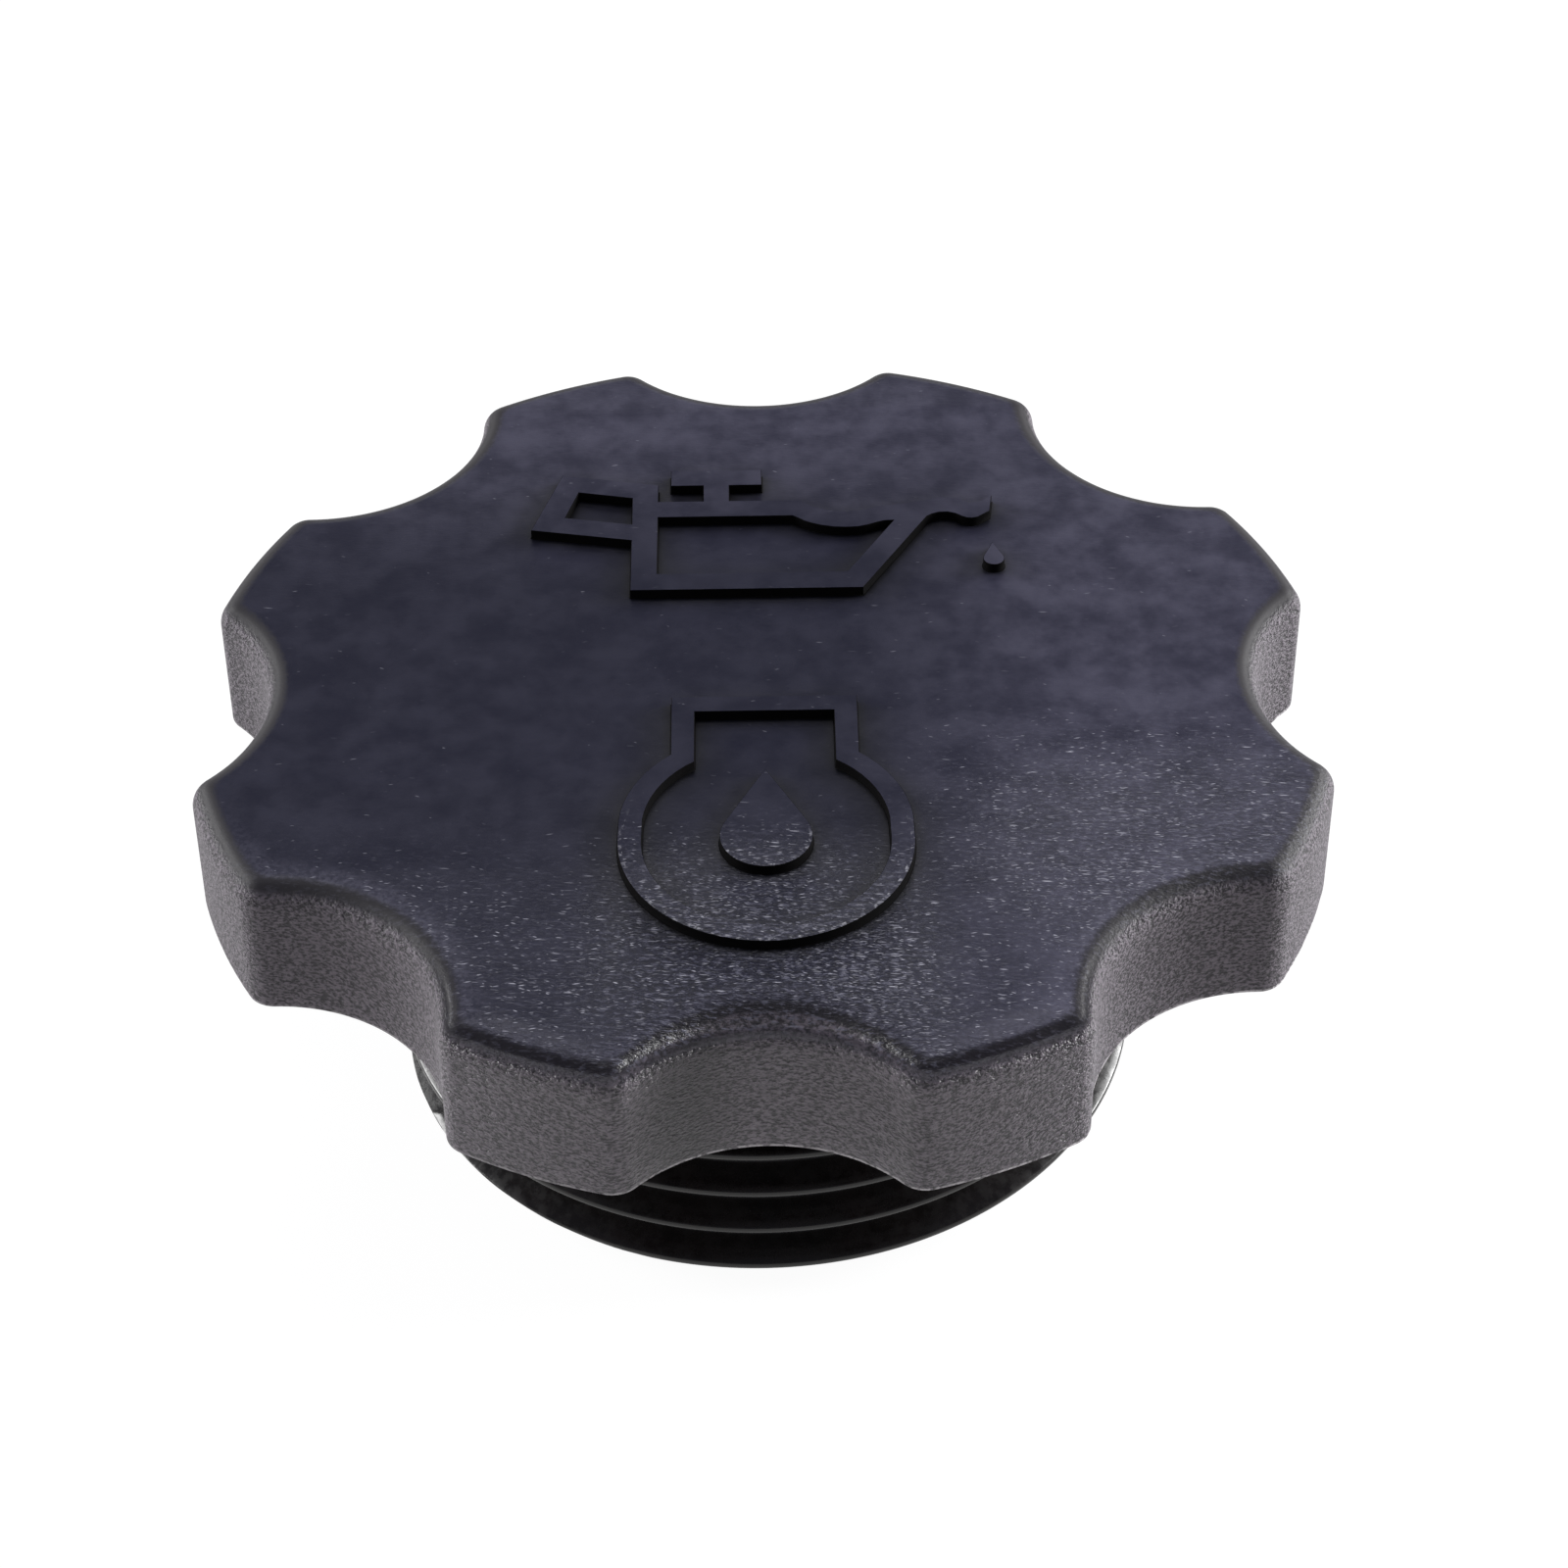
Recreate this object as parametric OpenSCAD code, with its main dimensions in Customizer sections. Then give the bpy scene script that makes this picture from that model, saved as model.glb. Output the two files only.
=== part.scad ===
// Oil filler cap: a moulded knob with finger scallops and a hollow threaded plug, and its sealing ring.
// The origin is the centre of the plug's lower rim, +Z is up, and -Y is the side of the engine sign.

/* [Knob] */
// Diameter across two opposite lobes
knob_d = 67; // [65:0.5:80]
// Height of the knob from its lower edge to the flat of the top
knob_h = 8.7; // [8:0.1:14]
// Number of lobes, with as many finger scallops between them
lobes = 8; // [7:1:9]
// Depth of each finger scallop below the circle of the lobes
scallop_depth = 4.6; // [3.5:0.1:5.2]
// Radius of each finger scallop
scallop_r = 10.1; // [8:0.1:11.5]
// Rounding of the upright corners between lobes and scallops
corner_r = 1.7; // [1.6:0.1:2.2]
// Rounding of the edge all round the top
edge_r = 1.5; // [0.6:0.1:1.55]
// Thickness of the wall behind each lobe
lobe_wall = 2.5; // [2:0.1:3]
// Thickness of the wall between a lobe's pocket and its scallops
scallop_wall = 2.2; // [1.6:0.1:3]
// Thickness of the top over the pockets and the plug's bore
top_wall = 3.2; // [2.4:0.1:4]

/* [Sealing ring] */
// Width of the sealing ring's section
seal_w = 4.8; // [3.5:0.1:5]
// Thickness of the sealing ring
seal_t = 2.5; // [1.5:0.1:3.5]
// Bevel on the sealing ring's edges
seal_edge = 0.3; // [0.1:0.05:0.6]
// Clearance between the sealing ring and the neck that it is pushed over
seal_fit = 0.7; // [0.3:0.05:0.9]
// Clearance between the sealing ring and the wall round its recess
seal_gap = 0.3; // [0.1:0.05:0.5]
// Thickness of the wall between the ring's recess and the lobe pockets
recess_wall = 1.9; // [1.2:0.1:2.4]
// Depth of the seat's face below the flat of the top
seat_depth = 3.4; // [3:0.1:4.4]

/* [Threaded plug] */
// Length of the plug below the knob's lower edge
plug_l = 18.1; // [14:0.1:26]
// Crest diameter of the thread
thread_d = 44.8; // [43.5:0.1:45.5]
// Pitch of the thread
thread_pitch = 3; // [2:0.25:4]
// Depth of the thread
thread_depth = 1.65; // [0.9:0.05:1.7]
// Angle at which the thread leaves the plug's end, seen from above
thread_start_a = 42; // [0:1:360]
// Chamfer at the plug's end
end_chamfer = 1.1; // [0.6:0.1:1.6]
// Length over which the thread runs out at the neck
run_out = 1; // [0.5:0.1:2]
// Length of the plain neck between the seat and the thread
neck_l = 5.9; // [4.5:0.1:8]
// How far the plain neck lies below the thread's root
neck_step = 0.25; // [0.1:0.05:0.5]
// Thickness of the plug's wall between its bore and the thread's root
plug_wall = 3.25; // [2.5:0.05:5.75]
// Chamfer at the mouth of the bore
bore_chamfer = 0.6; // [0.3:0.1:1]

/* [Signs] */
// Height of the raised signs over the flat of the top
sign_h = 0.6; // [0.3:0.05:1]
// Width of the bars that draw the engine sign
engine_bar = 1.35; // [1:0.05:1.6]
// Radius of the engine sign's rounded outline
engine_r = 8.25; // [7.5:0.05:8.6]
// Half width of the engine sign's square head
engine_head = 5.35; // [4.8:0.05:6]
// Width of the bars that draw the oil can sign
can_bar = 1.6; // [1.2:0.05:1.8]

/* [Hidden] */
$fn = 96;

lobe_a = 360 / lobes;
knob_r = knob_d / 2;
knob_z = plug_l;
top_z = plug_l + knob_h;
seat_z = top_z - seat_depth;
void_z = top_z - top_wall;
thread_r = thread_d / 2;
root_r = thread_r - thread_depth;
neck_r = root_r - neck_step;
bore_r = root_r - plug_wall;
seal_in_r = neck_r + seal_fit;
seal_out_r = seal_in_r + seal_w;
recess_r = seal_out_r + seal_gap;
thread_l = seat_z - neck_l;
// Overlap that joins solids and clears cuts
lap = 1;
// How far the signs are let into the top
sign_foot = 0.4;

// Outline of the knob
edge_steps = 6;
scallop_steps = 14;
corner_steps = 5;
lobe_steps = 6;
scallop_c = knob_r - scallop_depth + scallop_r;
corner_c = knob_r - corner_r;
corner_span = scallop_r + corner_r;
// Angle from a scallop's middle to the centre of the rounding beside it
corner_a = acos((corner_c ^ 2 + scallop_c ^ 2 - corner_span ^ 2) / (2 * corner_c * scallop_c));
// Half of the angle through which the scallop's arc turns
scallop_a = atan2(corner_c * sin(corner_a), scallop_c - corner_c * cos(corner_a));

function turned(v, a) = [v.x * cos(a) - v.y * sin(a), v.x * sin(a) + v.y * cos(a)];
// A place on the outline: the point, and the direction in which the wall faces
function place(c, r, a) = [c + r * [cos(a), sin(a)], [cos(a), sin(a)]];
function scallop_place(a) =
    [[scallop_c - scallop_r * cos(a), scallop_r * sin(a)], [cos(a), -sin(a)]];

// One scallop, the rounding after it, one lobe and the rounding before the next scallop
one_lobe = [
    for (i = [0 : scallop_steps])
        scallop_place(scallop_a * (2 * i / scallop_steps - 1)),
    for (i = [1 : corner_steps])
        place(turned([corner_c, 0], corner_a), corner_r,
            -scallop_a + (corner_a + scallop_a) * i / corner_steps),
    for (i = [1 : lobe_steps])
        place([0, 0], knob_r, corner_a + (lobe_a - 2 * corner_a) * i / lobe_steps),
    for (i = [1 : corner_steps - 1])
        place(turned([corner_c, 0], lobe_a - corner_a), corner_r,
            lobe_a - corner_a + (corner_a + scallop_a) * i / corner_steps)
];
outline = [
    for (k = [0 : lobes - 1], p = one_lobe)
        [turned(p[0], k * lobe_a), turned(p[1], k * lobe_a)]
];

// Height and inset of each level of the knob's skin
levels = [
    [knob_z, 0],
    for (i = [0 : edge_steps])
        let (a = 90 * i / edge_steps)
        [top_z - edge_r * (1 - sin(a)), edge_r * (1 - cos(a))]
];

// Thread: half width of a crest, and the height that a flank takes
crest_half = thread_pitch / 16;
flank_l = thread_depth * tan(30);
turn_steps = 60;
turn_count = ceil(thread_l / thread_pitch) + 1;

// The four corners of one turn's profile: radius and height above the middle of the crest
profile = [
    [thread_r, -crest_half],
    [thread_r, crest_half],
    [root_r, crest_half + flank_l],
    [root_r, thread_pitch - crest_half - flank_l]
];
column_len = len(profile) * (turn_count + 2);
function thread_point(i, k) =
    let (p = profile[k % 4], turn = floor(k / 4) - 1, a = 360 * i / turn_steps)
    [p[0] * cos(a), p[0] * sin(a), p[1] + thread_pitch * (turn + (a - thread_start_a) / 360)];

// Engine sign: a rounded body that holds a drop, with a square head on its far side
engine_x = 0.1;
engine_near_y = -14.4;
engine_far_y = -13.3;
engine_head_y = -1.9;
drop_y = -14.05;
drop_r = 2.6;
drop_tip_y = -8.35;

// Oil can sign: the hollow of the can, with its wavy far side, from its near left corner
can_hollow = [
    [-6.2, 9.77],
    [5.2, 9.77],
    [8.15, 14.8],
    [7.6, 14.77],
    [6.6, 14.38],
    [5.3, 14.15],
    [3.7, 14.4],
    [2.7, 14.85],
    [2, 15.4],
    [-6.2, 15.4]
];
can_far = 15.4;
// Opening of the can's handle
handle_hollow = [
    [-11.85, 15.5],
    [-7.8, 14.75],
    [-7.8, 17.4],
    [-11.1, 18.05]
];
// Near side of the spout's lip
lip = [
    [10.2, 15.15],
    [10.95, 15.55],
    [11.95, 15.4],
    [12.6, 14.95],
    [13.3, 15],
    [14.05, 15.6]
];
// Where the spout's lip meets the can
spout_root = [8.4, 15.6];
post_x = -2.65;
lid_half = 2.8;
can_drop_x = 14.05;
can_drop_y = 10.85;
can_drop_r = 0.65;
can_drop_tip_y = 12.5;

// The outline that lies a bar's width outside a hollow, with sharp corners
function side(a, b) = let (u = (b - a) / norm(b - a)) [u.y, -u.x];
function widened(p, d) = [
    for (i = [0 : len(p) - 1])
        let (m = side(p[(i + len(p) - 1) % len(p)], p[i]), n = side(p[i], p[(i + 1) % len(p)]))
        p[i] + d * (m + n) / (1 + m * n)
];

// The whole outer skin of the knob, from its lower edge over the rounded edge to the flat top
module knob_skin() {
    n = len(outline);
    points = [
        for (l = levels, p = outline) [each (p[0] - l[1] * p[1]), l[0]],
        [0, 0, knob_z],
        [0, 0, top_z]
    ];
    low = n * len(levels);
    upper = n * (len(levels) - 1);
    sides = [
        for (j = [0 : len(levels) - 2], i = [0 : n - 1])
            let (a = j * n + i, b = j * n + (i + 1) % n)
            each [[a, a + n, b], [b, a + n, b + n]]
    ];
    bottom = [for (i = [0 : n - 1]) [low, i, (i + 1) % n]];
    top = [for (i = [0 : n - 1]) [low + 1, upper + (i + 1) % n, upper + i]];
    polyhedron(points, [each sides, each bottom, each top], convexity = 10);
}

// A pocket behind each lobe keeps the moulding's walls even
module lobe_pockets() {
    translate([0, 0, knob_z - lap])
        linear_extrude(void_z - knob_z + lap)
            difference() {
                circle(r = knob_r - lobe_wall);
                circle(r = recess_r + recess_wall);
                for (k = [0 : lobes - 1])
                    rotate(k * lobe_a)
                        translate([scallop_c, 0])
                            circle(r = scallop_r + scallop_wall);
            }
}

// The recess that takes the sealing ring and the rim of the filler neck
module seal_recess() {
    translate([0, 0, knob_z - lap])
        cylinder(h = seat_z - knob_z + lap, r = recess_r);
}

// A ridge of V section wound round the plug as a right-hand thread, with a blunt point above and below
module thread_form() {
    last = turn_steps - 1;
    ends = [
        [0, 0, thread_point(0, 0).z - thread_pitch],
        [0, 0, thread_point(last, column_len - 1).z + thread_pitch]
    ];
    low = turn_steps * column_len;
    high = low + 1;
    points = [
        for (i = [0 : last], k = [0 : column_len - 1]) thread_point(i, k),
        each ends
    ];
    sides = [
        for (i = [0 : last], k = [0 : column_len - 2])
            let (a = i * column_len + k, b = i < last ? a + column_len : k + 4)
            if (i < last || k + 5 < column_len) each [[a, a + 1, b], [a + 1, b + 1, b]]
    ];
    lower_rim = [
        for (i = [0 : last]) i * column_len,
        for (k = [4 : -1 : 1]) k
    ];
    upper_rim = [
        for (i = [0 : last]) i * column_len + column_len - 1,
        for (k = [1 : 4]) last * column_len + column_len - 1 - k
    ];
    lower_cap = [
        for (i = [0 : len(lower_rim) - 1])
            [low, lower_rim[i], lower_rim[(i + 1) % len(lower_rim)]]
    ];
    upper_cap = [
        for (i = [0 : len(upper_rim) - 1])
            [high, upper_rim[(i + 1) % len(upper_rim)], upper_rim[i]]
    ];
    polyhedron(points, [each sides, each lower_cap, each upper_cap], convexity = 10);
}

// The thread, trimmed to a chamfered end below and run out to the neck above
module thread() {
    run_rise = lap * run_out / (thread_r - neck_r);
    intersection() {
        thread_form();
        rotate_extrude()
            polygon([
                [0, 0],
                [thread_r - end_chamfer, 0],
                [thread_r + lap, end_chamfer + lap],
                [thread_r + lap, thread_l - run_out - run_rise],
                [neck_r - lap, thread_l + run_rise],
                [0, thread_l + run_rise]
            ]);
    }
}

// The neck and the core of the plug
module plug() {
    thread();
    translate([0, 0, thread_l - lap])
        cylinder(h = seat_z - thread_l + 2 * lap, r = neck_r);
}

// Bore of the plug, with its lower edge broken
module plug_bore() {
    rotate_extrude()
        polygon([
            [0, -lap],
            [bore_r + bore_chamfer + lap, -lap],
            [bore_r, bore_chamfer],
            [bore_r, void_z],
            [0, void_z]
        ]);
}

// Two equal circles and the ground between them
module oval(r) {
    translate([0, engine_near_y])
        circle(r = r);
    translate([0, engine_far_y])
        circle(r = r);
    translate([-r, engine_near_y])
        square([2 * r, engine_far_y - engine_near_y]);
}

// A drop: a circle with a point tangent to it on the far side
module drop(r, h) {
    a = asin(r / h);
    circle(r = r);
    polygon([[0, h], r * [-cos(a), sin(a)], r * [cos(a), sin(a)]]);
}

module engine_sign() {
    translate([engine_x, 0]) {
        difference() {
            union() {
                oval(engine_r);
                translate([-engine_head, engine_far_y])
                    square([2 * engine_head, engine_head_y - engine_far_y]);
            }
            oval(engine_r - engine_bar);
            translate([engine_bar - engine_head, engine_far_y])
                square([2 * (engine_head - engine_bar), engine_head_y - engine_bar - engine_far_y]);
        }
        translate([0, drop_y])
            drop(drop_r, drop_tip_y - drop_y);
    }
}

module can_spout() {
    polygon([
        each lip,
        each [for (i = [len(lip) - 1 : -1 : 0]) lip[i] + [0.2, can_bar]],
        spout_root
    ]);
}

module can_sign() {
    difference() {
        union() {
            polygon(widened(can_hollow, can_bar));
            polygon(widened(handle_hollow, can_bar));
            can_spout();
        }
        polygon(can_hollow);
        polygon(handle_hollow);
    }
    translate([post_x - can_bar / 2, can_far + can_bar - lap])
        square([can_bar, can_bar + lap]);
    translate([post_x - lid_half, can_far + 2 * can_bar])
        square([2 * lid_half, can_bar]);
    translate([can_drop_x, can_drop_y])
        drop(can_drop_r, can_drop_tip_y - can_drop_y);
}

// The signs that tell what the filler takes
module signs() {
    translate([0, 0, top_z - sign_foot])
        linear_extrude(sign_foot + sign_h) {
            engine_sign();
            can_sign();
        }
}

module cap_moulding() {
    color([0.14, 0.14, 0.16])
        union() {
            difference() {
                union() {
                    difference() {
                        knob_skin();
                        lobe_pockets();
                        seal_recess();
                    }
                    plug();
                }
                plug_bore();
            }
            signs();
        }
}

module sealing_ring() {
    color([0.05, 0.05, 0.05])
        translate([0, 0, seat_z - seal_t])
            rotate_extrude()
                polygon([
                    [seal_in_r, seal_edge],
                    [seal_in_r + seal_edge, 0],
                    [seal_out_r - seal_edge, 0],
                    [seal_out_r, seal_edge],
                    [seal_out_r, seal_t - seal_edge],
                    [seal_out_r - seal_edge, seal_t],
                    [seal_in_r + seal_edge, seal_t],
                    [seal_in_r, seal_t - seal_edge]
                ]);
}

cap_moulding();
sealing_ring();
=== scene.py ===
import math

import bpy
import bmesh
from mathutils import Matrix, Vector, geometry


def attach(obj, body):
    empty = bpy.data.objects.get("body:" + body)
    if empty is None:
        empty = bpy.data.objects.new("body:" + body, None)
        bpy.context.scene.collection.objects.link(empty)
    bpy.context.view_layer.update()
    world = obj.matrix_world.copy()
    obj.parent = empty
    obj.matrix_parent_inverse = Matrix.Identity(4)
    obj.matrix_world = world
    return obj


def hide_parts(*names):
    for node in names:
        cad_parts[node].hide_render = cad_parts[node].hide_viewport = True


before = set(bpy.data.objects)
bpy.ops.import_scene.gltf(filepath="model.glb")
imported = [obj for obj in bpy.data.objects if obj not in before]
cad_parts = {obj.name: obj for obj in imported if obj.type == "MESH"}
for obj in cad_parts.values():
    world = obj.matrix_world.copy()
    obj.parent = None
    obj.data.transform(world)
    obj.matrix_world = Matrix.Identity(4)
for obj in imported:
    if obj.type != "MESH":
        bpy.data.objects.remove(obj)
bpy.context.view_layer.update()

# Sizes in millimetres, in the frame of the part: the plug's lower rim is at z 0
KNOB_R = 33.5
SCALLOP_DEPTH = 4.6
SCALLOP_R = 10.1
SCALLOP_AT = KNOB_R - SCALLOP_DEPTH + SCALLOP_R
CORNER_R = 1.7
EDGE_R = 1.5
LOBES = 8
STEP = 2 * math.pi / LOBES
LOW_Z = 18.1
TOP_Z = 26.8
SIGN_Z = 27.4
SEAT_Z = 23.4
VOID_Z = 23.6
RECESS_R = 26.3
POCKET_IN = 28.2
POCKET_OUT = 31.0
POCKET_WALL = 2.2
POCKET_ROUND = 0.3
NECK_R = 20.5
THREAD_L = 17.5
RUN_OUT = 1.0
CREST_R = 22.4
ROOT_R = 20.75
PITCH = 3.0
START_A = 103.0
END_CHAMFER = 1.1
BORE_R = 17.5
BORE_CHAMFER = 0.6

# Sides of the curves
COLUMNS = 240
SCALLOP_SIDES = 48
CORNER_SIDES = 10
LOBE_SIDES = 18
EDGE_SIDES = 10
POCKET_SIDES = 12
FLANK_SIDES = 6

# Turns of the thread, with some to spare at both ends
TURNS = range(-2, 8)

# Signs: the engine's centre lines, then radius, half width and far end of its head
ENGINE_X, ENGINE_NEAR_Y, ENGINE_FAR_Y = 0.1, -14.4, -13.3
ENGINE = (8.25, 5.35, -1.9)
ENGINE_HOLLOW = (6.9, 4.0, -3.25)
# Drops: centre, radius and the distance from the centre to the tip
ENGINE_DROP = (0.1, -14.05, 2.6, 5.7)
CAN_DROP = (14.05, 10.85, 0.65, 1.65)
CAN = [
    (-7.8, 8.17), (6.12, 8.17), (10.2, 15.15), (10.55, 15.4), (10.95, 15.55), (11.5, 15.56),
    (11.95, 15.4), (12.3, 15.12), (12.6, 14.95), (12.95, 14.9), (13.3, 15.0), (14.05, 15.6),
    (14.25, 17.2), (13.55, 16.65), (12.85, 16.52), (12.15, 17.0), (11.15, 17.15), (10.1, 16.85),
    (8.6, 16.5), (7.3, 16.3), (6.4, 15.95), (5.3, 15.77), (4.0, 16.0), (3.3, 16.3),
    (2.5, 17.0), (-1.85, 17.0), (-1.85, 18.6), (0.15, 18.6), (0.15, 20.2), (-5.45, 20.2),
    (-5.45, 18.6), (-3.45, 18.6), (-3.45, 17.0), (-6.2, 17.0), (-6.2, 18.72), (-12.15, 19.9),
    (-13.92, 14.25), (-7.8, 13.12),
]
CAN_HOLLOW = [
    (-6.2, 9.77), (5.2, 9.77), (8.15, 14.8), (7.6, 14.77), (7.1, 14.6), (6.6, 14.38),
    (6.0, 14.2), (5.3, 14.15), (4.5, 14.2), (3.7, 14.4), (3.15, 14.62), (2.7, 14.85),
    (2.35, 15.15), (2.0, 15.4), (-6.2, 15.4),
]
HANDLE_HOLLOW = [(-11.85, 15.5), (-7.8, 14.75), (-7.8, 17.4), (-11.1, 18.05)]

# Section of the sealing ring: radius and height
RING_SECTION = [
    (21.2, 21.2), (21.24, 21.04), (21.35, 20.93), (21.5, 20.9), (25.7, 20.9), (25.85, 20.93),
    (25.96, 21.04), (26.0, 21.2), (26.0, 23.1), (25.96, 23.26), (25.85, 23.37), (25.7, 23.4),
    (21.5, 23.4), (21.35, 23.37), (21.24, 23.26), (21.2, 23.1),
]

# Points closer than this are one: in millimetres on the thread, and in metres on a finished mesh
SAME_POINT = 1e-6
WELD = 2e-7
# Edges sharper than this many degrees are shaded as edges
SHARP_A = 40
# Material slots of the moulding
KNOB, PLUG, SIGN_WALL = 0, 1, 2

# Colours as linear red, green and blue
WALL_PIT = (0.011, 0.008, 0.0125, 1)
WALL_GRAIN = (0.124, 0.105, 0.126, 1)
WALL_DARK_PATCH = (0.001, 0.0005, 0.001, 1)
# Painted shade on the rounded edge between the wall and the top
SHOULDER_SHADE = (0.0025, 0.0006, 0.004, 1)
TOP_DARK = (0.0022, 0.0026, 0.0145, 1)
TOP_LIGHT = (0.005, 0.0052, 0.021, 1)
# Painted sheen on the far and right parts of the top
TOP_PAINTED_SHEEN = (0.056, 0.054, 0.087, 1)
# Painted highlight along the near edges of the top
RIM_HIGHLIGHT = (0.13, 0.125, 0.17, 1)
GAP = (0.001, 0.001, 0.004, 1)
STREAK = (0.13, 0.13, 0.175, 1)
FIBRE = (0.46, 0.46, 0.52, 1)
# Painted shade at the feet of the signs
SIGN_FOOT_SHADE = (0.0022, 0.0024, 0.0012, 1)
# Painted glints along the near upper edges of the signs
EDGE_GLINT = (0.28, 0.28, 0.31, 1)
FLASH = (0.45, 0.42, 0.44, 1)
# Painted shade on the upright walls of the signs
SIGN_WALL_SHADE_TONES = (0.0008, 0.0008, 0.001, 1), (0.0025, 0.0022, 0.0025, 1)
PLUG_TONES = (0.0012, 0.0006, 0.0005, 1), (0.004, 0.0025, 0.0025, 1)
RUBBER_TONES = (0.012, 0.012, 0.012, 1), (0.022, 0.021, 0.02, 1)

# Bump depths and the reach of the painted shade at the feet of the signs, in metres
KNOB_BUMP = 0.001
PLUG_BUMP = 0.000012
RUBBER_BUMP = 0.00002
FOOT_SHADE_REACH = 0.0022
# Indices of refraction
KNOB_IOR = 1.52
PLUG_IOR = 1.42

# Fibres on the top: length and width in millimetres, and lie in radians
FIBRES = ((1.0, 0.15, 0.1), (0.7, 0.13, -0.2), (0.5, 0.14, 0.4), (0.45, 0.12, -0.05))


def mm(x, y, z):
    return Vector((x, y, z)) * 0.001


# Outlines


def knob_outline():
    """Points of the knob's outline with the direction in which the wall faces, anticlockwise."""
    corner = KNOB_R - CORNER_R
    span = SCALLOP_R + CORNER_R
    corner_a = math.acos((corner**2 + SCALLOP_AT**2 - span**2) / (2 * corner * SCALLOP_AT))
    scallop_a = math.atan2(corner * math.sin(corner_a), SCALLOP_AT - corner * math.cos(corner_a))
    places = []

    def round_corner(at, start, turn, count):
        cx, cy = corner * math.cos(at), corner * math.sin(at)
        for i in range(1, count + 1):
            a = start + turn * i / CORNER_SIDES
            places.append((cx + CORNER_R * math.cos(a), cy + CORNER_R * math.sin(a), a))

    for k in range(SCALLOP_SIDES + 1):
        a = scallop_a * (2 * k / SCALLOP_SIDES - 1)
        places.append((SCALLOP_AT - SCALLOP_R * math.cos(a), SCALLOP_R * math.sin(a), -a))
    round_corner(corner_a, -scallop_a, corner_a + scallop_a, CORNER_SIDES)
    for k in range(1, LOBE_SIDES + 1):
        a = corner_a + (STEP - 2 * corner_a) * k / LOBE_SIDES
        places.append((KNOB_R * math.cos(a), KNOB_R * math.sin(a), a))
    # The next scallop has the last point of this corner
    round_corner(STEP - corner_a, STEP - corner_a, corner_a + scallop_a, CORNER_SIDES - 1)

    out = []
    for k in range(LOBES):
        c, s = math.cos(k * STEP), math.sin(k * STEP)
        for x, y, a in places:
            out.append((x * c - y * s, x * s + y * c, math.cos(a + k * STEP), math.sin(a + k * STEP)))
    return out


def pocket_outline(k):
    """One cored pocket behind a lobe, anticlockwise."""
    r = SCALLOP_R + POCKET_WALL

    def meet(radius):
        return math.acos((radius**2 + SCALLOP_AT**2 - r**2) / (2 * radius * SCALLOP_AT))

    inner, outer = meet(POCKET_IN), meet(POCKET_OUT)
    pts = []
    for i in range(POCKET_SIDES + 1):
        a = STEP - inner + (2 * inner - STEP) * i / POCKET_SIDES
        pts.append((POCKET_IN * math.cos(a), POCKET_IN * math.sin(a)))

    def flank(a0, r0, a1, r1, axis):
        cx, cy = SCALLOP_AT * math.cos(axis), SCALLOP_AT * math.sin(axis)
        x0, y0 = r0 * math.cos(a0), r0 * math.sin(a0)
        x1, y1 = r1 * math.cos(a1), r1 * math.sin(a1)
        t0, t1 = math.atan2(y0 - cy, x0 - cx), math.atan2(y1 - cy, x1 - cx)
        turn = (t1 - t0 + math.pi) % (2 * math.pi) - math.pi
        for i in range(1, FLANK_SIDES):
            t = t0 + turn * i / FLANK_SIDES
            pts.append((cx + r * math.cos(t), cy + r * math.sin(t)))

    flank(inner, POCKET_IN, outer, POCKET_OUT, 0.0)
    for i in range(POCKET_SIDES + 1):
        a = outer + (STEP - 2 * outer) * i / POCKET_SIDES
        pts.append((POCKET_OUT * math.cos(a), POCKET_OUT * math.sin(a)))
    flank(STEP - outer, POCKET_OUT, STEP - inner, POCKET_IN, STEP)
    c, s = math.cos(k * STEP), math.sin(k * STEP)
    return [(x * c - y * s, x * s + y * c) for x, y in pts]


def moved_in(loop, d):
    """The closed outline with each side moved to its left by d, and sharp corners kept."""
    out = []
    for i, p in enumerate(loop):
        a, b = loop[i - 1], loop[(i + 1) % len(loop)]
        u, v = (p[0] - a[0], p[1] - a[1]), (b[0] - p[0], b[1] - p[1])
        lu, lv = math.hypot(*u), math.hypot(*v)
        m, n = (-u[1] / lu, u[0] / lu), (-v[1] / lv, v[0] / lv)
        w = 1 + m[0] * n[0] + m[1] * n[1]
        out.append((p[0] + d * (m[0] + n[0]) / w, p[1] + d * (m[1] + n[1]) / w))
    return out


def arc(cx, cy, r, a0, a1, steps):
    """Points on a circle from angle a0 to a1, in degrees."""
    out = []
    for i in range(steps + 1):
        a = math.radians(a0 + (a1 - a0) * i / steps)
        out.append((cx + r * math.cos(a), cy + r * math.sin(a)))
    return out


def engine_outline(r, half, far, steps=40):
    """The rounded body with its square head, anticlockwise."""
    x = ENGINE_X
    a = math.degrees(math.acos(half / r))
    body = arc(x, ENGINE_FAR_Y, r, 180 - a, 180, steps // 4)[:-1]
    body += arc(x, ENGINE_NEAR_Y, r, 180, 360, steps)
    body += arc(x, ENGINE_FAR_Y, r, 0, a, steps // 4)[1:]
    return body + [(x + half, far), (x - half, far)]


def drop_outline(x, y, r, tip, steps=30):
    """A drop with its tip on the far side, anticlockwise."""
    a = math.degrees(math.asin(r / tip))
    return [(x, y + tip)] + arc(x, y, r, 180 - a, 360 + a, steps)


def circle_loop(r, z):
    turns = [2 * math.pi * i / COLUMNS for i in range(COLUMNS)]
    return [(r * math.cos(a), r * math.sin(a), z) for a in turns]


# Meshes


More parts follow.
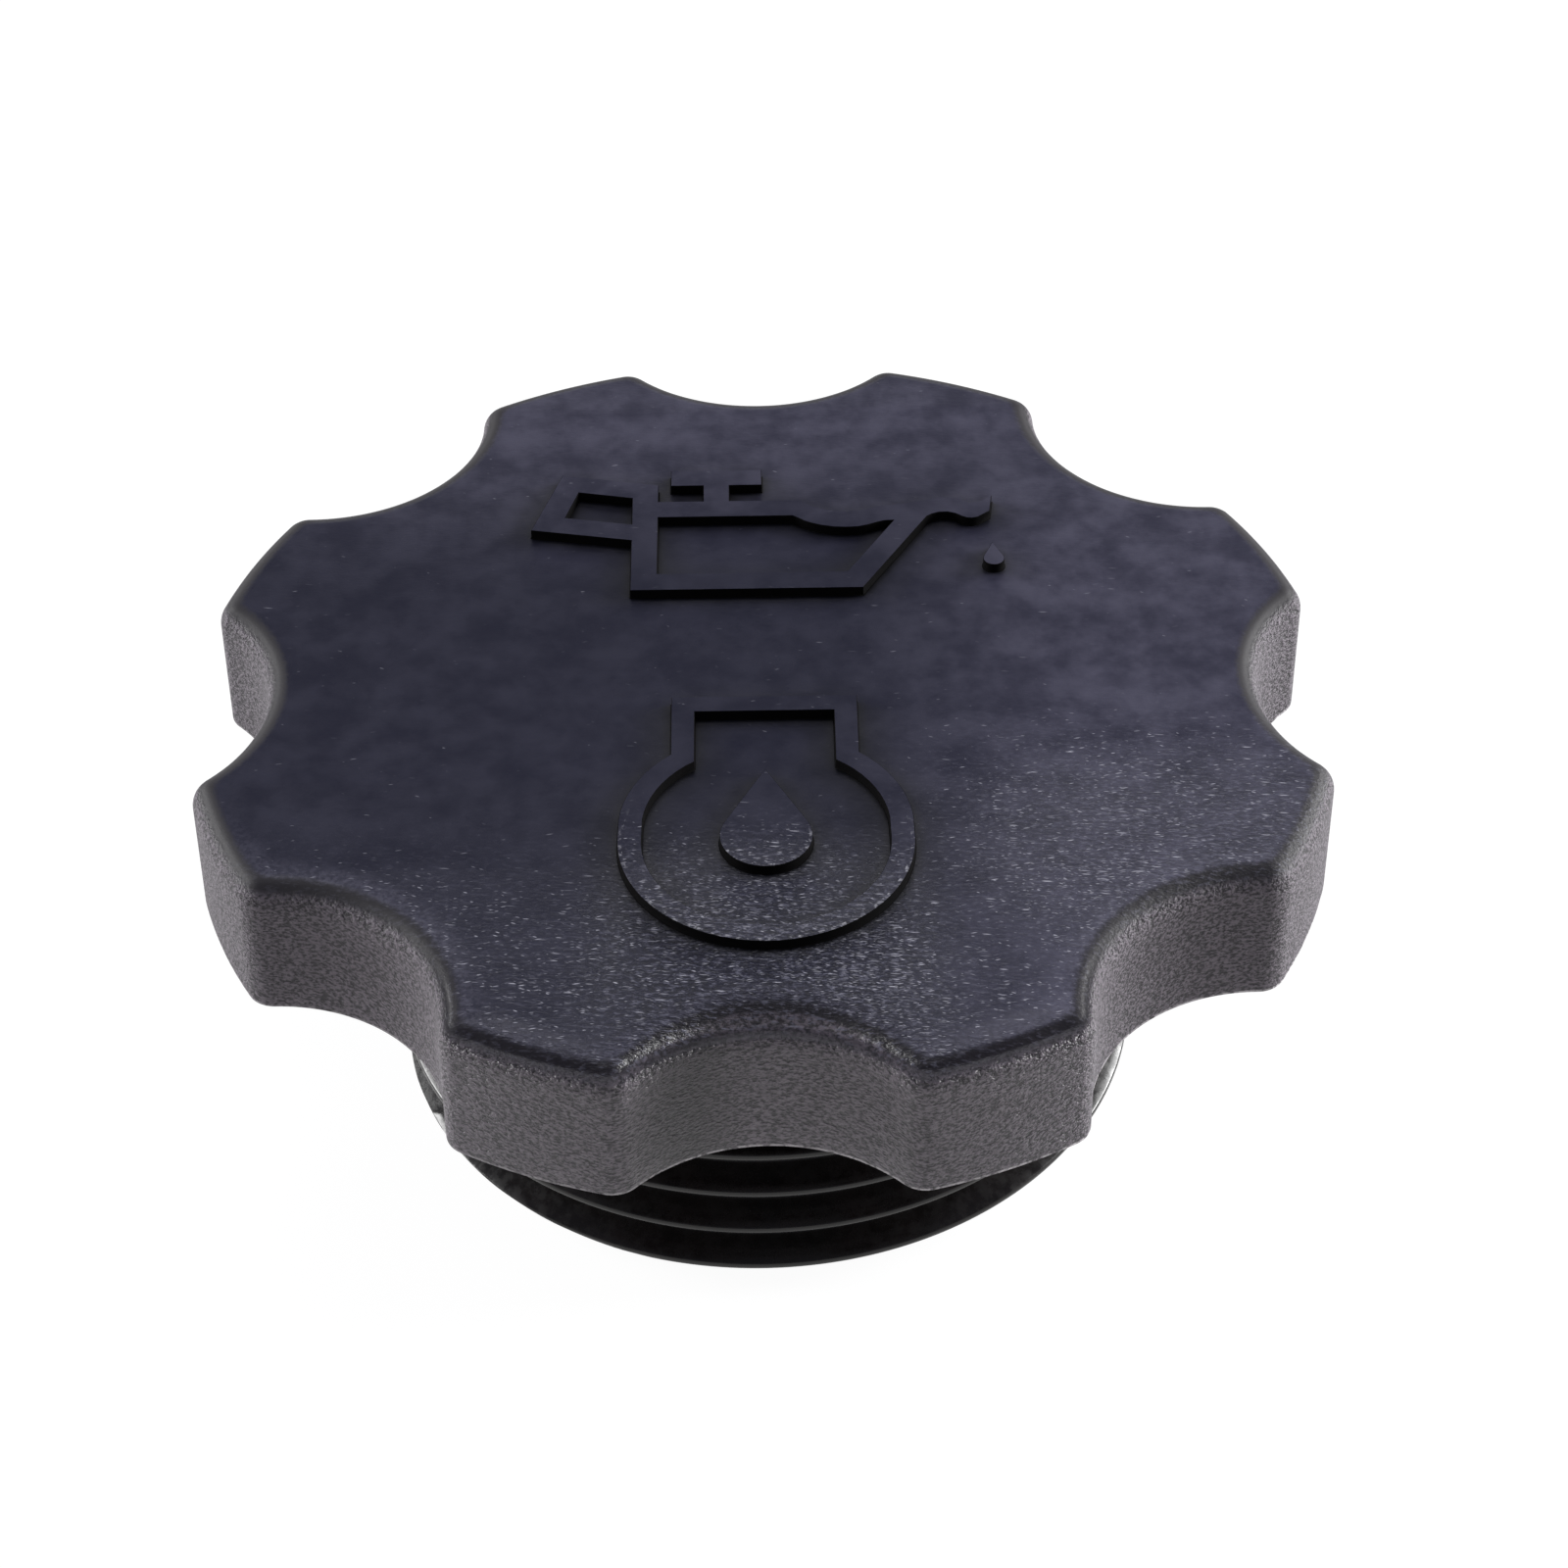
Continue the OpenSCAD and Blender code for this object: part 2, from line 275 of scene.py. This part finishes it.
class Solid:
    """Collects vertices and faces in millimetres for one mesh."""

    def __init__(self):
        self.bm = bmesh.new()

    def loop(self, pts):
        return [self.bm.verts.new(mm(*p)) for p in pts]

    def band(self, a, b, slot=0):
        """Quads between two loops of one length."""
        n = len(a)
        for i in range(n):
            j = (i + 1) % n
            f = self.bm.faces.new((a[i], a[j], b[j], b[i]))
            f.material_index = slot

    def bands(self, loops, slot=0):
        """Quads between each loop and the next."""
        for a, b in zip(loops, loops[1:]):
            self.band(a, b, slot)

    def fill(self, loops, slot):
        """Flat face with holes between loops at one height."""
        verts = [v for lp in loops for v in lp]
        tris = geometry.tessellate_polygon([[v.co * 1000 for v in lp] for lp in loops])
        for t in tris:
            if len(set(t)) == 3:
                f = self.bm.faces.new([verts[i] for i in t])
                f.material_index = slot


def thread_profile():
    """Height above the middle of a crest and radius, for one turn."""
    half = [
        (0.0, CREST_R), (0.1, CREST_R), (0.17, CREST_R - 0.03), (0.23, CREST_R - 0.095),
        (0.45, CREST_R - 0.473), (0.68, CREST_R - 0.871), (0.9, CREST_R - 1.252),
        (1.06, ROOT_R + 0.12), (1.12, ROOT_R + 0.045), (1.2, ROOT_R), (1.5, ROOT_R),
    ]
    back = [(PITCH - u, r) for u, r in reversed(half[1:-1])]
    return half + back


def profile_r(profile, u):
    """The profile's radius at any height."""
    u %= PITCH
    pts = profile + [(PITCH, profile[0][1])]
    for (u0, r0), (u1, r1) in zip(pts, pts[1:]):
        if u0 <= u <= u1:
            return r0 + (r1 - r0) * (u - u0) / (u1 - u0)
    return ROOT_R


def trimmed(r, z):
    """The radius left by the chamfer at the plug's end and the run-out at the neck."""
    r = min(r, CREST_R - END_CHAMFER + z)
    rise = (CREST_R - NECK_R) / RUN_OUT
    return max(min(r, CREST_R - (z - THREAD_L + RUN_OUT) * rise), NECK_R)


def add_thread(s):
    """The helical skin of the plug. Returns its loop at the end and its loop at the neck."""
    profile = thread_profile()
    per = len(profile)
    rows = per * len(TURNS)
    columns = []
    for i in range(COLUMNS):
        a = 2 * math.pi * i / COLUMNS
        lead = PITCH * (math.degrees(a) - START_A) / 360
        column = []
        last = None
        for turn in TURNS:
            for u, r in profile:
                z = u + PITCH * turn + lead
                if z <= 0:
                    z, r = 0.0, profile_r(profile, -lead)
                elif z >= THREAD_L:
                    z, r = THREAD_L, NECK_R
                r = trimmed(r, z)
                p = Vector((r * math.cos(a), r * math.sin(a), z))
                # Rows cut off by an end of the thread share one vertex
                if last is None or (p - last).length >= SAME_POINT:
                    column.append(s.bm.verts.new(mm(*p)))
                    last = p
                else:
                    column.append(column[-1])
        columns.append(column)
    for i, here in enumerate(columns):
        # The last column joins the first one a turn further up
        shift = per if i == COLUMNS - 1 else 0
        there = columns[(i + 1) % COLUMNS]
        for k in range(rows - 1 - shift):
            quad = [here[k], there[k + shift], there[k + shift + 1], here[k + 1]]
            ring = [v for n, v in enumerate(quad) if v is not quad[n - 1]]
            if len(ring) > 2:
                f = s.bm.faces.new(ring)
                f.material_index = PLUG
    return [c[0] for c in columns], [c[-1] for c in columns]


def add_moulding(s):
    outline = knob_outline()

    # The knob's skin: height and how far in it lies, from the lower edge to the top
    levels = [(LOW_Z, 0.05), (LOW_Z + 0.02, 0.01), (LOW_Z + 0.06, 0.0)]
    levels += [(20.0, 0.0), (22.0, 0.0), (24.0, 0.0)]
    for i in range(EDGE_SIDES + 1):
        a = math.pi / 2 * i / EDGE_SIDES
        levels.append((TOP_Z - EDGE_R * (1 - math.sin(a)), EDGE_R * (1 - math.cos(a))))
    loops = [s.loop([(x - d * nx, y - d * ny, z) for x, y, nx, ny in outline]) for z, d in levels]
    s.bands(loops, KNOB)
    s.fill([loops[-1]], KNOB)

    # Underside: lower face, pockets, recess, seat and neck
    mouth = s.loop(circle_loop(RECESS_R + 0.2, LOW_Z))
    pockets = [pocket_outline(k) for k in range(LOBES)]
    rims = [s.loop([(x, y, LOW_Z) for x, y in p]) for p in pockets]
    s.fill([loops[0], mouth] + rims, KNOB)
    for p, rim in zip(pockets, rims):
        foot = s.loop([(x, y, VOID_Z - POCKET_ROUND) for x, y in p])
        roof = s.loop([(x, y, VOID_Z) for x, y in moved_in(p, POCKET_ROUND)])
        s.bands([rim, foot, roof], PLUG)
        s.fill([roof], PLUG)
    recess = [
        (RECESS_R, LOW_Z + 0.2), (RECESS_R, SEAT_Z - 0.15), (RECESS_R - 0.15, SEAT_Z),
        (NECK_R + 0.25, SEAT_Z), (NECK_R, SEAT_Z - 0.25),
    ]
    ring = [mouth] + [s.loop(circle_loop(r, z)) for r, z in recess]
    low, high = add_thread(s)
    s.bands(ring + [high], PLUG)

    # End of the plug and its bore
    bore = [
        (BORE_R + BORE_CHAMFER, 0.0), (BORE_R + 0.1, BORE_CHAMFER - 0.1), (BORE_R, BORE_CHAMFER + 0.1),
        (BORE_R, VOID_Z - 0.8), (BORE_R - 0.1, VOID_Z - 0.3), (BORE_R - 0.4, VOID_Z - 0.05),
        (BORE_R - 0.8, VOID_Z),
    ]
    ring = [low] + [s.loop(circle_loop(r, z)) for r, z in bore]
    s.bands(ring, PLUG)
    s.fill([ring[-1]], PLUG)


def add_sign(s, *outlines):
    """A raised sign: its outer outline runs anticlockwise and its hollows clockwise."""
    levels = [
        (TOP_Z - 0.2, -0.06), (TOP_Z, -0.06), (TOP_Z + 0.03, -0.02), (TOP_Z + 0.07, 0.0),
        (SIGN_Z - 0.03, 0.005), (SIGN_Z, 0.035),
    ]
    rings = [[s.loop([(x, y, z) for x, y in moved_in(lp, d)]) for lp in outlines] for z, d in levels]
    for below, above in zip(rings, rings[1:]):
        for a, b in zip(below, above):
            s.band(a, b, SIGN_WALL)
    s.fill(rings[-1], KNOB)
    s.fill(rings[0], KNOB)


def finished(s, name, materials):
    """The mesh as an object, smooth but for its sharp edges."""
    bm = s.bm
    bmesh.ops.remove_doubles(bm, verts=bm.verts, dist=WELD)
    bmesh.ops.recalc_face_normals(bm, faces=bm.faces)
    me = bpy.data.meshes.new(name)
    bm.to_mesh(me)
    bm.free()
    for m in materials:
        me.materials.append(m)
    for p in me.polygons:
        p.use_smooth = True
    me.set_sharp_from_angle(angle=math.radians(SHARP_A))
    ob = bpy.data.objects.new(name, me)
    bpy.context.scene.collection.objects.link(ob)
    return ob


# Materials


class Nodes:
    """Short names for making a material's nodes."""

    def __init__(self, name):
        self.mat = bpy.data.materials.new(name)
        self.mat.use_nodes = True
        self.nt = self.mat.node_tree
        self.nt.nodes.clear()
        self.out = self.nt.nodes.new("ShaderNodeOutputMaterial")

    def add(self, kind, **values):
        n = self.nt.nodes.new(kind)
        for key, v in values.items():
            setattr(n, key, v)
        return n

    def link(self, a, b):
        self.nt.links.new(a, b)

    def put(self, socket, v):
        if isinstance(v, bpy.types.NodeSocket):
            self.link(v, socket)
        else:
            socket.default_value = v

    def math(self, op, *values):
        n = self.add("ShaderNodeMath", operation=op)
        for i, v in enumerate(values):
            self.put(n.inputs[i], v)
        return n.outputs[0]

    def product(self, first, *others):
        for v in others:
            first = self.math("MULTIPLY", first, v)
        return first

    def length(self, a, b):
        return self.math("SQRT", self.math("MULTIPLY_ADD", a, a, self.math("MULTIPLY", b, b)))

    def ramp(self, v, lo, hi, a=0.0, b=1.0):
        """From a to b, softly, as v goes from lo to hi."""
        n = self.add("ShaderNodeMapRange", interpolation_type="SMOOTHSTEP", clamp=True)
        self.put(n.inputs["Value"], v)
        for key, x in (("From Min", lo), ("From Max", hi), ("To Min", a), ("To Max", b)):
            self.put(n.inputs[key], x)
        return n.outputs["Result"]

    def mix(self, f, a, b):
        n = self.add("ShaderNodeMix", data_type="RGBA", clamp_factor=True)
        self.put(n.inputs[0], f)
        self.put(n.inputs[6], a)
        self.put(n.inputs[7], b)
        return n.outputs[2]

    def place(self, scale=(1.0, 1.0, 1.0), turn=0.0, shift=(0.0, 0.0, 0.0)):
        """Coordinates on the object, in millimetres, turned about Z and shifted, and then scaled."""
        co = self.add("ShaderNodeTexCoord").outputs["Object"]
        a = self.add("ShaderNodeMapping", vector_type="POINT")
        a.inputs["Scale"].default_value = (1000, 1000, 1000)
        a.inputs["Rotation"].default_value = (0, 0, turn)
        a.inputs["Location"].default_value = shift
        self.link(co, a.inputs["Vector"])
        b = self.add("ShaderNodeMapping", vector_type="POINT")
        b.inputs["Scale"].default_value = scale
        self.link(a.outputs[0], b.inputs["Vector"])
        return b.outputs[0]

    def noise(self, co, scale, detail, rough):
        n = self.add("ShaderNodeTexNoise")
        self.link(co, n.inputs["Vector"])
        n.inputs["Scale"].default_value = scale
        n.inputs["Detail"].default_value = detail
        n.inputs["Roughness"].default_value = rough
        n.inputs["Distortion"].default_value = 0.0
        return n.outputs["Fac"]

    def flecks(self, length, width, turn, shift, share):
        """Short bright fibres that lie about one way. share is how many of the cells hold one."""
        cells = self.add("ShaderNodeTexVoronoi", feature="F1", voronoi_dimensions="2D")
        self.link(self.place((1 / length, 1 / width, 0.02), turn, shift), cells.inputs["Vector"])
        cells.inputs["Scale"].default_value = 1.0
        pick = self.add("ShaderNodeSeparateColor")
        self.link(cells.outputs["Color"], pick.inputs[0])
        size = self.math("MULTIPLY_ADD", pick.outputs[2], 0.8, 0.35)
        shape = self.ramp(self.math("DIVIDE", cells.outputs["Distance"], size), 0.1, 0.34, 1.0, 0.0)
        keep = self.math("LESS_THAN", pick.outputs[0], share)
        bright = self.math("MULTIPLY_ADD", self.math("POWER", pick.outputs[1], 2.5), 0.85, 0.15)
        return self.product(shape, keep, bright)

    def surface(self, colour, rough, ior=None, height=None, depth=0.0):
        """A Principled shader on the output, with a bump of the depth in metres if it has a height."""
        sh = self.add("ShaderNodeBsdfPrincipled")
        self.link(colour, sh.inputs["Base Color"])
        self.put(sh.inputs["Roughness"], rough)
        if ior is not None:
            sh.inputs["IOR"].default_value = ior
        if height is not None:
            bump = self.add("ShaderNodeBump")
            bump.inputs["Strength"].default_value = 1.0
            bump.inputs["Distance"].default_value = depth
            self.link(height, bump.inputs["Height"])
            self.link(bump.outputs[0], sh.inputs["Normal"])
        self.link(sh.outputs[0], self.out.inputs["Surface"])
        return sh


def rim_distance(m, x, y):
    """How far in from the knob's wall a point lies, in mm."""
    a = m.math("WRAP", m.math("ARCTAN2", y, x), STEP / 2, -STEP / 2)
    r = m.length(x, y)
    u = m.math("SUBTRACT", m.math("MULTIPLY", r, m.math("COSINE", a)), SCALLOP_AT)
    v = m.math("MULTIPLY", r, m.math("SINE", a))
    scallop = m.math("SUBTRACT", m.length(u, v), SCALLOP_R)
    lobe = m.math("SUBTRACT", KNOB_R, r)
    return m.math("SMOOTH_MIN", scallop, lobe, 1.2)


def near_ring(m, x, y, at, r0, r1):
    """1 just outside a circle of radius r0, falling to 0 at r1, on its near side only."""
    u, v = m.math("SUBTRACT", x, at[0]), m.math("SUBTRACT", y, at[1])
    r = m.length(u, v)
    outside = m.math("GREATER_THAN", r, r0)
    return m.product(m.ramp(r, r0, r1, 1.0, 0.0), outside, m.ramp(v, 0.5 * r0, -0.5 * r0))


def plastic_knob():
    m = Nodes("moulded_knob")
    at = m.place()
    xyz = m.add("ShaderNodeSeparateXYZ")
    m.link(at, xyz.inputs[0])
    x, y, z = xyz.outputs
    aside = m.math("ABSOLUTE", x)
    inset = rim_distance(m, x, y)
    # 1 in the middle of the near scallop, where the shoulder and its painted dark band are widest
    middle = m.product(m.ramp(aside, 9.0, 1.0), m.ramp(y, -20.0, -24.0))
    # 1 in front, falling to 0 at the outer corners of the two near lobes
    front = m.ramp(aside, 19.0, 15.0)
    # 0 on the eroded wall, 1 on the top and on the signs
    top = m.ramp(z, TOP_Z - 0.85, TOP_Z - 0.2)
    # Wear: 0 over most of the top, up to 1 at the near rim and 0.6 on the right
    right = m.product(m.ramp(x, 3.0, 19.0, 0.0, 0.6), m.ramp(y, 1.0, -14.0))
    right = m.product(right, m.ramp(y, -23.0, -17.0, 0.6, 1.0))
    near = m.product(m.ramp(y, -9.0, -23.5), m.ramp(aside, 4.0, 12.0, 1.0, 0.3))
    worn = m.math("MAXIMUM", near, right)

    # Height in millimetres: the grain of the eroded mould and the drawn wear of the top
    grain = m.noise(m.place((0.62, 0.62, 1.0)), 6.0, 2.0, 0.62)
    drawn = m.noise(m.place((0.4, 1.0, 1.0), 0.1), 4.4, 3.0, 0.72)
    relief = m.math("MULTIPLY_ADD", m.noise(at, 1.3, 1.0, 0.5), 0.3, grain)
    rough_top = m.product(drawn, m.ramp(worn, 0.0, 1.0, 0.008, 0.14))
    rough_wall = m.product(m.math("SUBTRACT", 1.0, top), relief, 0.26)
    rough = m.math("MULTIPLY_ADD", top, rough_top, rough_wall)
    # The soft shoulder, where the top falls towards its near edges
    width = m.math("MULTIPLY_ADD", middle, 0.7, 2.9)
    depth = m.product(front, m.ramp(y, -12.0, -26.0, 0.0, 0.42))
    depth = m.math("MULTIPLY_ADD", middle, 1.1, depth)
    fall = m.product(m.ramp(m.math("DIVIDE", inset, width), 0.0, 1.0, -1.0, 0.0), depth, top)
    height = m.math("ADD", rough, fall)

    # Distance from the wall with a ragged line, and from it 0 on the wall and shoulder, 1 on the top
    edge = m.math("SUBTRACT", inset, m.math("ADD", middle, 0.15))
    edge = m.math("ADD", edge, m.math("MULTIPLY_ADD", grain, 0.36, -0.18))
    flat = m.ramp(edge, 0.85, 1.35)

    # Fibres of the filler that lie in the surface, and fine pale streaks between them
    patch = m.noise(at, 0.085, 3.0, 0.55)
    share = m.product(m.ramp(patch, 0.34, 0.64, 0.35, 1.0), m.ramp(worn, 0.0, 1.0, 0.005, 0.6))
    fibre = 0.0
    for i, (length, breadth, lie) in enumerate(FIBRES):
        fibre = m.math("MAXIMUM", fibre, m.flecks(length, breadth, lie, (3.1 * i, 5.7 * i, 0.0), share))
    fibre = m.product(fibre, flat, m.ramp(worn, 0.0, 0.3, 0.4, 1.0))
    streak = m.product(m.ramp(drawn, 0.51, 0.66), worn, top)
    gap = m.product(m.ramp(drawn, 0.5, 0.4), worn, top)

    # Wall: pitted, and darker at one place of the near scallop's left flank
    wall = m.mix(m.ramp(grain, 0.38, 0.62), WALL_PIT, WALL_GRAIN)
    dark_patch = m.product(m.ramp(x, -8.5, -4.8), m.ramp(x, -0.5, -4.0), m.ramp(y, -26.0, -28.0))
    wall = m.mix(m.product(dark_patch, 0.6), wall, WALL_DARK_PATCH)
    # Top: blue black, with a painted lavender sheen on its far and right parts
    cloud = m.noise(at, 0.3, 4.0, 0.62)
    upper = m.mix(m.ramp(cloud, 0.35, 0.7), TOP_DARK, TOP_LIGHT)
    painted_sheen = m.math("MAXIMUM", m.ramp(y, 9.0, 27.0), m.ramp(x, 3.0, 20.0))
    upper = m.mix(m.product(painted_sheen, m.ramp(cloud, 0.3, 0.75, 0.3, 0.9)), upper, TOP_PAINTED_SHEEN)
    # Painted shade: the rounded edge between wall and top is near black, in a band that is widest in the
    # near scallop
    base = m.mix(m.ramp(edge, 0.1, 0.42), wall, SHOULDER_SHADE)
    base = m.mix(flat, base, upper)

    # Painted highlight: a pale band along the near edges of the top
    band = m.product(flat, m.ramp(edge, 3.0, 1.4), m.ramp(grain, 0.4, 0.6, 0.3, 1.0))
    band = m.product(band, m.ramp(y, -8.0, -18.0, 0.0, 0.3))
    # Painted shade: the top darkened along the feet of the signs, where an occlusion node finds walls
    # close by
    corner = m.add("ShaderNodeAmbientOcclusion", samples=6, only_local=True)
    corner.inputs["Distance"].default_value = FOOT_SHADE_REACH
    foot_shade = m.product(m.ramp(corner.outputs["AO"], 0.985, 0.66), m.ramp(inset, 2.5, 4.0))
    foot_shade = m.product(foot_shade, m.math("LESS_THAN", z, TOP_Z + 0.1))
    # Painted glints: pale specks along the near upper edges of the engine and its drop
    engine_edge = near_ring(m, x, y, (ENGINE_X, ENGINE_NEAR_Y), 8.0, 8.35)
    drop_edge = near_ring(m, x, y, ENGINE_DROP[:2], 2.4, 2.7)
    edge_glints = m.product(m.math("MAXIMUM", engine_edge, drop_edge), m.math("GREATER_THAN", z, SIGN_Z - 0.1))
    edge_glints = m.product(edge_glints, m.ramp(m.noise(at, 2.6, 2.0, 0.65), 0.54, 0.64))
    # Thin pale line of flash along the lower edge, broken, and weaker on the left
    broken = m.ramp(m.noise(at, 1.6, 2.0, 0.6), 0.38, 0.55)
    flash = m.product(m.ramp(z, LOW_Z + 0.22, LOW_Z + 0.12), broken, m.ramp(x, -16.0, 2.0, 0.45, 0.95))
    layers = (
        (band, RIM_HIGHLIGHT), (m.product(gap, 0.6), GAP), (m.product(streak, 0.75), STREAK),
        (m.product(fibre, 0.9), FIBRE), (m.product(foot_shade, 0.8), SIGN_FOOT_SHADE), (edge_glints, EDGE_GLINT), (flash, FLASH),
    )
    for share, colour in layers:
        base = m.mix(share, base, colour)

    # The wall is dull at the sides and smoother in front
    dull = m.ramp(m.product(front, m.ramp(y, -17.0, -23.0)), 0.0, 1.0, 0.6, 0.34)
    dull = m.ramp(flat, 0.0, 1.0, dull, m.ramp(cloud, 0.3, 0.7, 0.3, 0.4))
    m.surface(base, dull, KNOB_IOR, height, KNOB_BUMP)
    return m.mat


def painted_shade_sign_wall():
    """The upright walls of the signs, painted near black and dull as painted shade."""
    m = Nodes("sign_wall")
    sh = m.surface(m.mix(m.noise(m.place(), 2.0, 2.0, 0.5), *SIGN_WALL_SHADE_TONES), 0.9)
    sh.inputs["Specular IOR Level"].default_value = 0.05
    return m.mat


def plastic_plug():
    m = Nodes("moulded_plug")
    at = m.place()
    colour = m.mix(m.ramp(m.noise(at, 0.4, 3.0, 0.55), 0.3, 0.7), *PLUG_TONES)
    rough = m.ramp(m.noise(at, 1.3, 3.0, 0.6), 0.3, 0.7, 0.2, 0.34)
    m.surface(colour, rough, PLUG_IOR, m.noise(at, 1.1, 3.0, 0.55), PLUG_BUMP)
    return m.mat


def rubber():
    m = Nodes("seal_rubber")
    at = m.place()
    tone = m.noise(at, 0.8, 4.0, 0.6)
    colour = m.mix(m.ramp(tone, 0.3, 0.7), *RUBBER_TONES)
    rough = m.ramp(tone, 0.3, 0.7, 0.55, 0.75)
    m.surface(colour, rough, height=m.noise(at, 3.0, 3.0, 0.6), depth=RUBBER_BUMP)
    return m.mat


# Pieces

s = Solid()
add_moulding(s)
add_sign(s, engine_outline(*ENGINE), engine_outline(*ENGINE_HOLLOW)[::-1])
add_sign(s, drop_outline(*ENGINE_DROP))
add_sign(s, CAN, CAN_HOLLOW[::-1], HANDLE_HOLLOW[::-1])
add_sign(s, drop_outline(*CAN_DROP, steps=14))
moulding = finished(s, "moulding", [plastic_knob(), plastic_plug(), painted_shade_sign_wall()])
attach(moulding, "root")
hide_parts("cap_moulding")

s = Solid()
rings = [s.loop(circle_loop(r, z)) for r, z in RING_SECTION]
s.bands(rings + rings[:1])
seal = finished(s, "seal", [rubber()])
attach(seal, "root")
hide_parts("sealing_ring")

# Stage, light and camera. Sizes from here on are in metres

FLOOR_SIDES = 96
FLOOR_FLAT_R = 0.45
SWEEP_R = 0.6
SWEEP_A = 68
SWEEP_SIDES = 12
WORLD_COLOUR = (0.84, 0.84, 1.0, 1)
WORLD_STRENGTH = 0.22
LIGHT_AIM = Vector((0.0, 0.0, 0.02))
WHITE = (1.0, 1.0, 1.0)
# Name, place, size, power and colour
LIGHTS = (
    ("top_light", (0.0, 0.34, 0.82), (0.6, 0.3), 1.45, (0.93, 0.92, 1.0)),
    ("left_light", (-0.628, 0.204, 0.165), (0.35, 0.24), 5.4, WHITE),
    ("right_light", (0.628, 0.204, 0.165), (0.35, 0.24), 8.8, WHITE),
)
PHOTO_SIDE = 1600
SENSOR = 36.0


def floor_material():
    """Pale grey, and nearly white where the camera or a reflection sees it."""
    m = Nodes("pale_floor")
    path = m.add("ShaderNodeLightPath")
    seen = m.math("MAXIMUM", path.outputs["Is Camera Ray"], path.outputs["Is Glossy Ray"])
    seen = m.math("MAXIMUM", seen, path.outputs["Is Transmission Ray"])
    glow = m.add("ShaderNodeEmission")
    glow.inputs["Color"].default_value = (1, 1, 1, 1)
    m.put(glow.inputs["Strength"], m.math("MULTIPLY_ADD", seen, 0.35, 0.6))
    paint = m.add("ShaderNodeBsdfDiffuse")
    paint.inputs["Color"].default_value = (0.1, 0.1, 0.1, 1)
    both = m.add("ShaderNodeAddShader")
    m.link(glow.outputs[0], both.inputs[0])
    m.link(paint.outputs[0], both.inputs[1])
    m.link(both.outputs[0], m.out.inputs["Surface"])
    return m.mat


def backdrop():
    """A pale floor that sweeps up all round, far from the part."""
    bm = bmesh.new()
    rings = [(0.2, 0.0), (FLOOR_FLAT_R, 0.0)]
    for i in range(1, SWEEP_SIDES + 1):
        a = math.radians(SWEEP_A * i / SWEEP_SIDES)
        rings.append((FLOOR_FLAT_R + SWEEP_R * math.sin(a), SWEEP_R * (1 - math.cos(a))))
    turns = [2 * math.pi * i / FLOOR_SIDES for i in range(FLOOR_SIDES)]
    centre = bm.verts.new((0, 0, 0))
    last = None
    for r, z in rings:
        cur = [bm.verts.new((r * math.cos(a), r * math.sin(a), z)) for a in turns]
        for i in range(FLOOR_SIDES):
            j = (i + 1) % FLOOR_SIDES
            bm.faces.new((centre, cur[i], cur[j]) if last is None else (last[i], cur[i], cur[j], last[j]))
        last = cur
    me = bpy.data.meshes.new("floor")
    bm.to_mesh(me)
    bm.free()
    for p in me.polygons:
        p.use_smooth = True
    me.materials.append(floor_material())
    ob = bpy.data.objects.new("floor", me)
    bpy.context.scene.collection.objects.link(ob)


def softbox(name, at, size, power, colour):
    lamp = bpy.data.lights.new(name, "AREA")
    lamp.shape = "RECTANGLE"
    lamp.size, lamp.size_y = size
    lamp.energy = power
    lamp.color = colour
    ob = bpy.data.objects.new(name, lamp)
    ob.location = at
    ob.rotation_mode = "QUATERNION"
    ob.rotation_quaternion = (Vector(at) - LIGHT_AIM).to_track_quat("Z", "Y")
    bpy.context.scene.collection.objects.link(ob)


def photo_camera():
    """The camera that was fitted to the outline of the knob in the photograph."""
    dist, elev, azim = 6.77477 * KNOB_R, 0.683443, -0.000169
    roll, yaw, pitch, focal = -0.014402, 0.005218, 0.025955, 3982.46
    back = Vector((math.sin(azim) * math.cos(elev), -math.cos(azim) * math.cos(elev), math.sin(elev)))
    right = Vector((math.cos(azim), math.sin(azim), 0))
    up = back.cross(right)
    turn = Matrix((right, up, back))
    cy, sy = math.cos(yaw), math.sin(yaw)
    cp, sp = math.cos(pitch), math.sin(pitch)
    cr, sr = math.cos(roll), math.sin(roll)
    yawed = Matrix(((cy, 0, sy), (0, 1, 0), (-sy, 0, cy)))
    pitched = Matrix(((1, 0, 0), (0, cp, -sp), (0, sp, cp)))
    rolled = Matrix(((cr, sr, 0), (-sr, cr, 0), (0, 0, 1)))
    axes = (rolled @ pitched @ yawed @ turn).transposed()
    cam = bpy.data.cameras.new("camera")
    cam.sensor_fit = "AUTO"
    cam.sensor_width = SENSOR
    cam.lens = SENSOR * focal / PHOTO_SIDE
    cam.clip_start, cam.clip_end = 0.01, 10
    ob = bpy.data.objects.new("camera", cam)
    place = back * dist * 0.001 + Vector((0, 0, TOP_Z * 0.001))
    ob.matrix_world = Matrix.Translation(place) @ axes.to_4x4()
    bpy.context.scene.collection.objects.link(ob)
    bpy.context.scene.camera = ob


backdrop()
for light in LIGHTS:
    softbox(*light)

world = bpy.data.worlds.new("surroundings")
bpy.context.scene.world = world
world.use_nodes = True
surroundings = world.node_tree.nodes["Background"]
surroundings.inputs["Color"].default_value = WORLD_COLOUR
surroundings.inputs["Strength"].default_value = WORLD_STRENGTH

photo_camera()
bpy.context.scene.view_settings.view_transform = "Standard"
